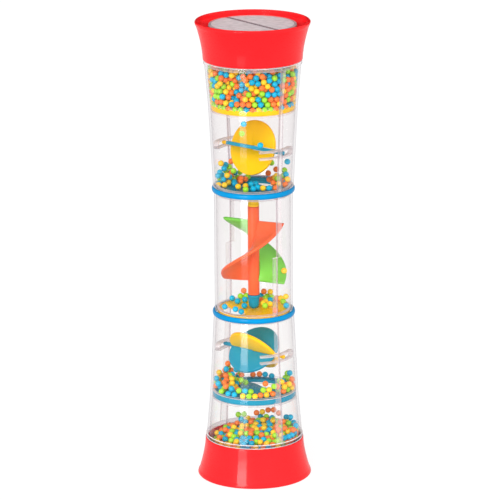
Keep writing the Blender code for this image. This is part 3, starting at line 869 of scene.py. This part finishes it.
def blade_sections(inner, angle, steps=72):
    """Rounded blade sections that turn clockwise and sink from the top edge to the bottom one."""
    climb = (BLADE_TOP - BLADE_BOTTOM) / BLADE_TURN
    half = BLADE_THICKNESS / 2
    profile = [(inner + (BLADE_RADIUS - half - inner) * i / 8, half) for i in range(9)]
    for i in range(1, 8):
        turn = math.pi / 2 - math.pi * i / 8
        profile.append((BLADE_RADIUS - half + half * math.cos(turn), half * math.sin(turn)))
    profile += [(radius, -half) for radius, _ in reversed(profile[:9])]
    sections = []
    for i in range(steps + 1):
        share = i / steps
        end = min(share, 1 - share) * BLADE_TURN * BLADE_RADIUS / half
        thin = math.sqrt(max(1 - (1 - min(end, 1)) ** 2, 0.02))
        theta = -BLADE_TURN * share
        section = []
        for radius, push in profile:
            a = angle + theta
            place = Vector((*polar(radius, a), BLADE_TOP + climb * theta))
            normal = Vector((climb * math.sin(a), -climb * math.cos(a), radius)).normalized()
            section.append(tuple(place + normal * push * thin))
        sections.append(section)
    return sections


def plug_outline(length, lip):
    """A tapered cup on the end of the shaft, with a lip where the shaft enters it."""
    mouth, end = SHAFT_RADIUS + lip, 3.1 * MM
    return [
        (0, length), (mouth, length), (mouth, length - 1.5 * MM),
        (mouth - 0.35 * MM, length - 1.8 * MM), (end + 0.25 * MM, 1.6 * MM),
        (end - 0.15 * MM, 0.75 * MM), (end - 0.8 * MM, 0.15 * MM), (end - 1.2 * MM, 0),
        (1.6 * MM, 0), (1.6 * MM, -2.2 * MM), (0, -2.2 * MM),
    ]


def spiral_rotor():
    bottom_low, bottom_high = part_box("spiral_bottom_plug")
    top_low, top_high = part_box("spiral_top_plug")
    low, high = bottom_high.z + GAP, top_low.z - GAP
    shaft = [(0, high), (SHAFT_RADIUS, high), (SHAFT_RADIUS, low), (0, low)]
    shape = turned(shaft, 0.3 * MM, PART_STEPS)
    add_sweep(shape, blade_sections(SHAFT_RADIUS - 0.4 * MM, ORANGE_BLADE_ANGLE))
    new_piece("orange_spiral_shaft", shape, "spiral_orange", "spiral", ("spiral_shaft",), sharp=40)
    sections = blade_sections(SHAFT_RADIUS + 0.05 * MM, ORANGE_BLADE_ANGLE + math.pi)
    shape = add_sweep(bmesh.new(), sections)
    new_piece("green_spiral_blade", shape, "spiral_green", "spiral", ("spiral_green_blade",), sharp=40)

    floor = bottom_low.z + PIVOT_LENGTH
    ceiling = top_high.z - PIVOT_LENGTH
    bottom = plug_outline(bottom_high.z - floor, 0.3 * MM)
    top = flipped(plug_outline(ceiling - top_low.z, 0.0))
    shape = turned(bottom, 0.2 * MM, PART_STEPS, floor)
    new_piece("teal_bottom_plug", shape, "inner_teal", "spiral", ("spiral_bottom_plug",))
    shape = turned(top, 0.2 * MM, PART_STEPS, ceiling)
    new_piece("yellow_top_plug", shape, "inner_yellow", "spiral", ("spiral_top_plug",))


# --- paddle wheels ---

def wheel_disc(node, slot, body, centre, tilt, pin_side):
    """A round disc with one axle pin, and a slot from its other side that takes the other disc."""
    half = DISC_THICKNESS / 2
    outline = [(0, half), (DISC_RADIUS, half), (DISC_RADIUS, -half), (0, -half)]
    shape = turned(outline, 0.5 * MM, DISC_STEPS)
    bmesh.ops.rotate(shape, verts=shape.verts, matrix=Matrix.Rotation(math.pi / 2, 3, "X"))
    disc = new_piece("paddle_" + node, shape, slot, body, (node,))

    slot_half = half + GAP
    ends = sorted((pin_side * GAP, -pin_side * (DISC_RADIUS + 3 * MM)))
    corners = [(ends[0], -5 * MM), (ends[1], -5 * MM), (ends[1], 5 * MM), (ends[0], 5 * MM)]
    cut(disc, "DIFFERENCE", prism(corners, -slot_half, slot_half), last=False)

    outline = [(0, PIN_TIP), (PIN_RADIUS, PIN_TIP), (PIN_RADIUS, PIN_ROOT), (0, PIN_ROOT)]
    shape = turned(outline, 0.35 * MM, PIN_STEPS)
    bmesh.ops.rotate(shape, verts=shape.verts, matrix=Matrix.Rotation(pin_side * math.pi / 2, 3, "Y"))
    cut(disc, "UNION", new_piece("pin", shape, None), width=0.2 * MM)

    place = (Matrix.Translation((0, 0, centre)) @ Matrix.Rotation(AXLE_ANGLE, 4, "Z")
             @ Matrix.Rotation(tilt, 4, "X"))
    disc.data.transform(place)
    disc.data.set_sharp_from_angle(angle=math.radians(35))


def paddle_wheels():
    rows = (
        ("upper_wheel", WHEEL_LEVEL, math.radians(-17.4), math.radians(72.6), -1),
        ("lower_wheel", -WHEEL_LEVEL, math.radians(41), math.radians(-49), 1),
    )
    for body, level, yellow_tilt, teal_tilt, yellow_side in rows:
        centre = MIDDLE + level
        wheel_disc(body + "_yellow_disc", "inner_yellow", body, centre, yellow_tilt, yellow_side)
        wheel_disc(body + "_teal_disc", "inner_teal", body, centre, teal_tilt, -yellow_side)


# --- beads ---

BEAD_COLOURS = ("orange", "yellow", "green", "blue")
ORANGE, YELLOW, GREEN, BLUE = range(4)
COLOUR_SHARES = (0.27, 0.25, 0.24, 0.24)
FALL = 0.05 * MM
FULL_CHAMBER = 60 * MM
FULL_COUNT = 1330
FULL_STEPS = 260
BANK_HEIGHT = 45 * MM
BANK_FALL = 0.03 * MM
BANK_STEPS = 16


def near_pairs(points, reach):
    """Index pairs of points closer together than reach."""
    squares = (points ** 2).sum(1)
    distances = squares[:, None] + squares[None, :] - 2 * points @ points.T
    first, second = np.nonzero(np.triu(distances < reach ** 2, 1))
    return first, second


def push_apart(points, pairs, gap, freedom):
    """Move overlapping beads apart, half each where both are free."""
    first, second = pairs
    between = points[second] - points[first]
    length = np.sqrt((between ** 2).sum(1)) + 1e-9
    overlap = np.clip(gap - length, 0, None)
    move = between / length[:, None] * (overlap / 2)[:, None] * 0.9
    for axis in range(3):
        points[:, axis] -= np.bincount(first, move[:, axis], len(points)) * freedom
        points[:, axis] += np.bincount(second, move[:, axis], len(points)) * freedom


def settle(points, keep_inside, pull, steps, freedom=1.0):
    """Let beads fall by their pull at each step until they rest on each other and on what holds
    them in. keep_inside moves any bead that is past a wall back to it. A bead with little freedom
    stays about where it was laid."""
    freedom = np.ones(len(points)) * freedom
    gap = 2 * BEAD_RADIUS
    velocity = np.zeros_like(points)
    pairs = near_pairs(points, gap * 1.6)
    for step in range(steps):
        if step % 4 == 0:
            pairs = near_pairs(points, gap * 1.6)
        before = points.copy()
        velocity = velocity * 0.9 + pull * (1 if step < steps * 0.9 else 0.2)
        points += velocity
        for _ in range(4):
            push_apart(points, pairs, gap, freedom)
            keep_inside(points)
        velocity = np.clip(points - before, -0.6 * MM, 0.6 * MM) * 0.92 * (freedom == 1)[:, None]
    for _ in range(60):
        pairs = near_pairs(points, gap * 1.3)
        push_apart(points, pairs, gap, freedom)
        keep_inside(points)
    return points


def inside_tube(floor, ceiling, margin=0.05 * MM, sphere=None, column=0.0):
    """A rule that keeps beads inside the tube between two heights, off a ball round a paddle
    wheel, and off a shaft."""
    clear = BEAD_RADIUS + margin

    def keep(points):
        points[:, 2] = np.clip(points[:, 2], floor + clear, ceiling - clear)
        radius = np.hypot(points[:, 0], points[:, 1]) + 1e-9
        limit = wall_inner_radius(points[:, 2]) - clear
        shrink = np.minimum(1, limit / radius)
        points[:, :2] *= shrink[:, None]
        if column:
            grow = np.maximum(1, (column + clear) / (radius * shrink))
            points[:, :2] *= grow[:, None]
        if sphere:
            away = points - np.array((0, 0, sphere[0]))
            length = np.sqrt((away ** 2).sum(1)) + 1e-9
            grow = np.maximum(1, (sphere[1] + clear) / length)
            points[:] = np.array((0, 0, sphere[0])) + away * grow[:, None]
    return keep


def bead_ball(level):
    """Vertices and triangles of a small ball."""
    shape = bmesh.new()
    bmesh.ops.create_icosphere(shape, subdivisions=level, radius=BEAD_RADIUS)
    verts = np.array([vert.co for vert in shape.verts])
    faces = np.array([[vert.index for vert in face.verts] for face in shape.faces])
    shape.free()
    return verts, faces


def bead_mesh(name, centres, turns):
    """One mesh with a ball at each centre. Each is turned at random and very slightly flattened."""
    ball, faces = bead_ball(3)
    ball = ball * np.array((1, 1, 0.985))
    count = len(centres)
    cosines, sines = np.cos(turns), np.sin(turns)
    verts = np.repeat(ball[None], count, 0)
    for first, second, column in ((0, 1, 0), (1, 2, 1)):
        a, b = verts[:, :, first].copy(), verts[:, :, second].copy()
        verts[:, :, first] = a * cosines[:, column, None] - b * sines[:, column, None]
        verts[:, :, second] = a * sines[:, column, None] + b * cosines[:, column, None]
    verts += centres[:, None, :]
    corners = (faces[None] + (np.arange(count) * len(ball))[:, None, None]).reshape(-1)
    mesh = bpy.data.meshes.new(name)
    mesh.vertices.add(count * len(ball))
    mesh.vertices.foreach_set("co", verts.reshape(-1).astype(np.float32))
    mesh.loops.add(len(corners))
    mesh.loops.foreach_set("vertex_index", corners.astype(np.int32))
    mesh.polygons.add(len(corners) // 3)
    mesh.polygons.foreach_set("loop_start", np.arange(0, len(corners), 3, dtype=np.int32))
    mesh.update(calc_edges=True)
    mesh.validate()
    return mesh


def file_beads(name, centres, colour, body, nodes, random):
    """File the beads of one colour as a piece."""
    turns = random.uniform(0, 2 * math.pi, (len(centres), 2))
    file_mesh(name, bead_mesh(name, centres, turns), "bead_" + colour, body, nodes, sharp=180)


def file_pile(body, node, points, laid, first, random):
    """Colour a chamber's beads and file them: by their rows for the laid ones, which are the points
    from first on, and by chance for the rest."""
    colours = random.choice(len(BEAD_COLOURS), len(points), p=COLOUR_SHARES)
    colours[first:first + len(laid)] = [row[0] for row in laid]
    for number, colour in enumerate(BEAD_COLOURS):
        chosen = points[colours == number]
        if len(chosen):
            file_beads("%s_%s" % (body, colour), chosen, colour, body, (node,), random)


def plate_top(node, level):
    """Height of the upper face of a baffle's plate."""
    low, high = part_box(node)
    return low.z + BAFFLE_PLATE if level > 0 else high.z


def scatter(random, count, start, sweep, inner, outer, low, high):
    """Seed points spread over part of a ring."""
    angles = np.radians(start + sweep * random.random(count))
    radii = np.sqrt(inner ** 2 + (outer ** 2 - inner ** 2) * random.random(count))
    heights = low + (high - low) * random.random(count)
    return np.column_stack([radii * np.cos(angles), radii * np.sin(angles), heights])


def downhill(angle, slope):
    """A pull on full chambers, straight down or leaning towards an angle in degrees."""
    direction = np.array((*polar(slope, math.radians(angle)), -1))
    return direction / np.linalg.norm(direction) * FALL


def outside_pocket(points, angle, radius, level, size):
    """True for each bead outside an egg-shaped pocket: its size is given round, in and up."""
    turn = math.radians(angle)
    place = points - np.array((*polar(radius, turn), level))
    cosine, sine = polar(1, turn)
    across = place[:, 1] * cosine - place[:, 0] * sine
    inward = place[:, 0] * cosine + place[:, 1] * sine
    return (across / size[0]) ** 2 + (inward / size[1]) ** 2 + (place[:, 2] / size[2]) ** 2 > 1


def laid_place(row, floor, lift=0.0):
    """Centre of a laid bead, from its row's angle, radius and height."""
    _, angle, radius, above = row
    return (*polar(radius * MM, math.radians(angle)), floor + above * MM + lift)


def full_chamber(body, node, floor, pull, seed, pocket=None, laid=()):
    """A chamber full of settled beads, less a pocket, with a few more laid at its wall."""
    random = np.random.default_rng(seed)
    ceiling = floor + FULL_CHAMBER
    points = scatter(random, FULL_COUNT, 0, 360, 0, 25 * MM, floor + 2 * MM, ceiling - 2 * MM)
    settle(points, inside_tube(floor, ceiling), pull, FULL_STEPS)
    if pocket:
        points = points[outside_pocket(points, *pocket)]
    for row in laid:
        place = np.array(laid_place(row, floor))
        apart = np.sqrt(((points - place) ** 2).sum(1)) > 1.95 * BEAD_RADIUS
        points = np.vstack([points[apart], place])
    file_pile(body, node, points, laid, len(points) - len(laid), random)


# Beads high on the lowest chamber's wall, as colour, angle, radius and the centre's height in mm.
HIGH_ON_THE_WALL = (
    (GREEN, 113.5, 26.9, 28.1), (GREEN, 105, 26.9, 28), (BLUE, 109.2, 26.9, 24.6),
    (ORANGE, 87, 26.9, 28.6), (YELLOW, 78.5, 26.9, 29.4), (ORANGE, 70, 26.9, 31),
    (ORANGE, 61.5, 26.9, 31.6), (ORANGE, 53, 26.9, 30), (BLUE, 38, 26.9, 28.7),
    (BLUE, 27, 26.9, 30),
)


def end_chambers():
    floor = plate_top("top_baffle", 1)
    full_chamber("top_beads", "top_pile", floor, downhill(0, 0), 11,
                 pocket=(243, 27 * MM, floor + 16 * MM, (10 * MM, 6.5 * MM, 9 * MM)))
    floor = MIDDLE - END_DISC_LEVEL + WALL
    full_chamber("bottom_beads", "bottom_pile", floor, downhill(35, 0.16), 12, laid=HIGH_ON_THE_WALL)


def bank(body, node, floor, laid, heaps, seed, **limits):
    """Beads in a chamber with a turning part: some laid one by one, and heaps on the wall that
    have hardly settled, because static holds them up. A heap is a count, the angle it starts at and
    the angle it covers, its inner radius and its height."""
    random = np.random.default_rng(seed)
    places = [laid_place(row, floor, BEAD_RADIUS) for row in laid]
    seeds = [scatter(random, count, start, sweep, inner * MM, 25 * MM, floor + 2 * MM, floor + high * MM)
             for count, start, sweep, inner, high in heaps]
    points = np.vstack([places, *seeds])
    loose = np.arange(len(points)) >= len(places)
    weight = np.column_stack([np.zeros((len(points), 2)), -BANK_FALL * loose])
    keep = inside_tube(floor, floor + BANK_HEIGHT, 0.3 * MM, **limits)
    settle(points, keep, weight, BANK_STEPS, np.where(loose, 1.0, 0.2))
    file_pile(body, node, points, laid, 0, random)


# Beads that lie on their own, as colour, angle in degrees, radius and height above the plate in mm.
UPPER_WHEEL_LAID = (
    (ORANGE, 111, 16, 0), (ORANGE, 133, 13, 0), (YELLOW, 182, 19, 0), (YELLOW, 206, 11, 0),
    (YELLOW, 212, 6, 0), (GREEN, 249, 14, 0), (BLUE, 270, 11, 0), (BLUE, 136, 2, 0),
    (BLUE, 66, 4, 0), (BLUE, 292, 8, 0), (YELLOW, 304, 11, 0), (BLUE, 317, 14, 0),
    (ORANGE, 328, 17, 0), (ORANGE, 20, 14, 0), (BLUE, 28, 18, 0), (ORANGE, 0, 21, 0),
    (YELLOW, 156, 23, 12.5), (ORANGE, 129, 23, 11.5), (BLUE, 142, 23, 10), (GREEN, 133, 23, 8.5),
    (BLUE, 149, 22, 8), (ORANGE, 137, 21, 4.5), (BLUE, 124, 22, 3.5), (GREEN, 116, 22, 3.5),
    (BLUE, 161, 23, 5.5), (GREEN, 146, 22, 2), (GREEN, 117, 22, 0.5), (BLUE, 166, 22, 2),
    (GREEN, 57, 22, 10.5), (ORANGE, 47, 22, 6.5), (ORANGE, 62, 21, 3.5), (GREEN, 22, 22, 7.5),
    (GREEN, 25, 22, 4), (BLUE, 14, 22, 5.5), (ORANGE, 10, 22, 2), (ORANGE, 27, 22, 0),
    (YELLOW, 2, 22, 3),
)
SPIRAL_LAID = (
    (BLUE, 210, 22, 2), (BLUE, 237, 22, 2.3), (BLUE, 248, 22, 1.2), (BLUE, 133, 21, 0),
    (BLUE, 143, 13.5, 0), (GREEN, 114, 21.5, 0.5), (GREEN, 104, 21.5, 0.5), (ORANGE, 108, 21.5, 4),
    (BLUE, 117, 13, 0), (BLUE, 207, 7, 0), (BLUE, 77, 21.5, 0.5), (ORANGE, 71, 21, 3),
    (YELLOW, 61, 22, 3), (GREEN, 66, 21.5, 0), (GREEN, 64, 17, 0), (GREEN, 55, 21, 0),
    (BLUE, 44, 15, 0), (ORANGE, 66, 11.5, 0), (YELLOW, 25, 6.5, 0), (YELLOW, 44, 10.5, 0),
    (GREEN, 336, 8, 0), (YELLOW, 5, 10.5, 0), (ORANGE, 315, 20, 0), (YELLOW, 35, 21.5, 1),
    (YELLOW, 17, 22, 3.5), (GREEN, 19, 20.5, 0), (BLUE, 351, 21.5, 0), (ORANGE, 44, 21.5, 0),
)
LOWER_WHEEL_LAID = (
    (BLUE, 228, 25, 0), (BLUE, 239, 24.5, 0), (BLUE, 230, 23.5, 3), (GREEN, 243, 23, 2.5),
    (BLUE, 254, 23, 2.4), (YELLOW, 253, 25, 0), (GREEN, 262, 25, 0), (GREEN, 264, 22, 2.5),
    (YELLOW, 271, 25, 0), (ORANGE, 280, 23, 0), (YELLOW, 290, 23, 0), (ORANGE, 301, 23, 0),
    (GREEN, 286, 22, 3), (YELLOW, 297, 22.5, 3), (GREEN, 303, 23, 5), (ORANGE, 287, 25, 8.6),
    (GREEN, 212, 25, 0), (GREEN, 199, 21, 0), (BLUE, 187, 22.5, 0), (ORANGE, 180, 17, 0),
    (ORANGE, 92, 24.5, 0), (ORANGE, 82, 25, 0.5), (BLUE, 73, 25, 0.5), (BLUE, 61, 24, 0),
    (GREEN, 32, 24.5, 1.5), (ORANGE, 12, 24.5, 0), (YELLOW, 322, 25, 3.8), (GREEN, 335, 24, 0),
    (YELLOW, 346, 25, 0.5), (ORANGE, 324, 23.5, 0), (BLUE, 24, 21.5, 0), (ORANGE, 138, 24, 9),
    (ORANGE, 143, 24, 6), (ORANGE, 131, 24.5, 5), (YELLOW, 158, 25, 6), (YELLOW, 162, 25, 2.5),
)


def middle_chambers():
    wheel_clear = DISC_RADIUS + 0.6 * MM
    bank("upper_wheel_beads", "upper_wheel_pile", plate_top("upper_baffle", 1),
         UPPER_WHEEL_LAID, ((13, 124, 44, 19, 8), (8, 110, 55, 17, 3), (8, 8, 54, 19, 5)), 21,
         sphere=(MIDDLE + WHEEL_LEVEL, wheel_clear))
    bank("spiral_beads", "spiral_pile", plate_top("lower_baffle", -1),
         SPIRAL_LAID, (), 22, column=SHAFT_RADIUS + GAP)
    bank("lower_wheel_beads", "lower_wheel_pile", plate_top("bottom_baffle", -1),
         LOWER_WHEEL_LAID, ((16, 124, 44, 20, 8), (28, 128, 90, 12, 4), (14, 330, 60, 20, 5)), 23,
         sphere=(MIDDLE - WHEEL_LEVEL, wheel_clear))


def clinging_beads():
    """Beads that static holds to the wall, and one on the green blade."""
    rows = (("blue", "tube", (1, 3, 4)), ("green", "tube", (2,)), ("yellow", "spiral", (5,)))
    random = np.random.default_rng(31)
    for colour, body, numbers in rows:
        nodes = ["clinging_bead_%d" % number for number in numbers]
        centres = np.array([(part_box(node)[0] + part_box(node)[1]) / 2 for node in nodes])
        file_beads("clinging_beads_" + colour, centres, colour, body, nodes, random)


materials = make_materials()
set_camera()
light_stage()
half_shells()
end_caps()
clamping_rings()
baffles()
spiral_rotor()
paddle_wheels()
end_chambers()
middle_chambers()
clinging_beads()
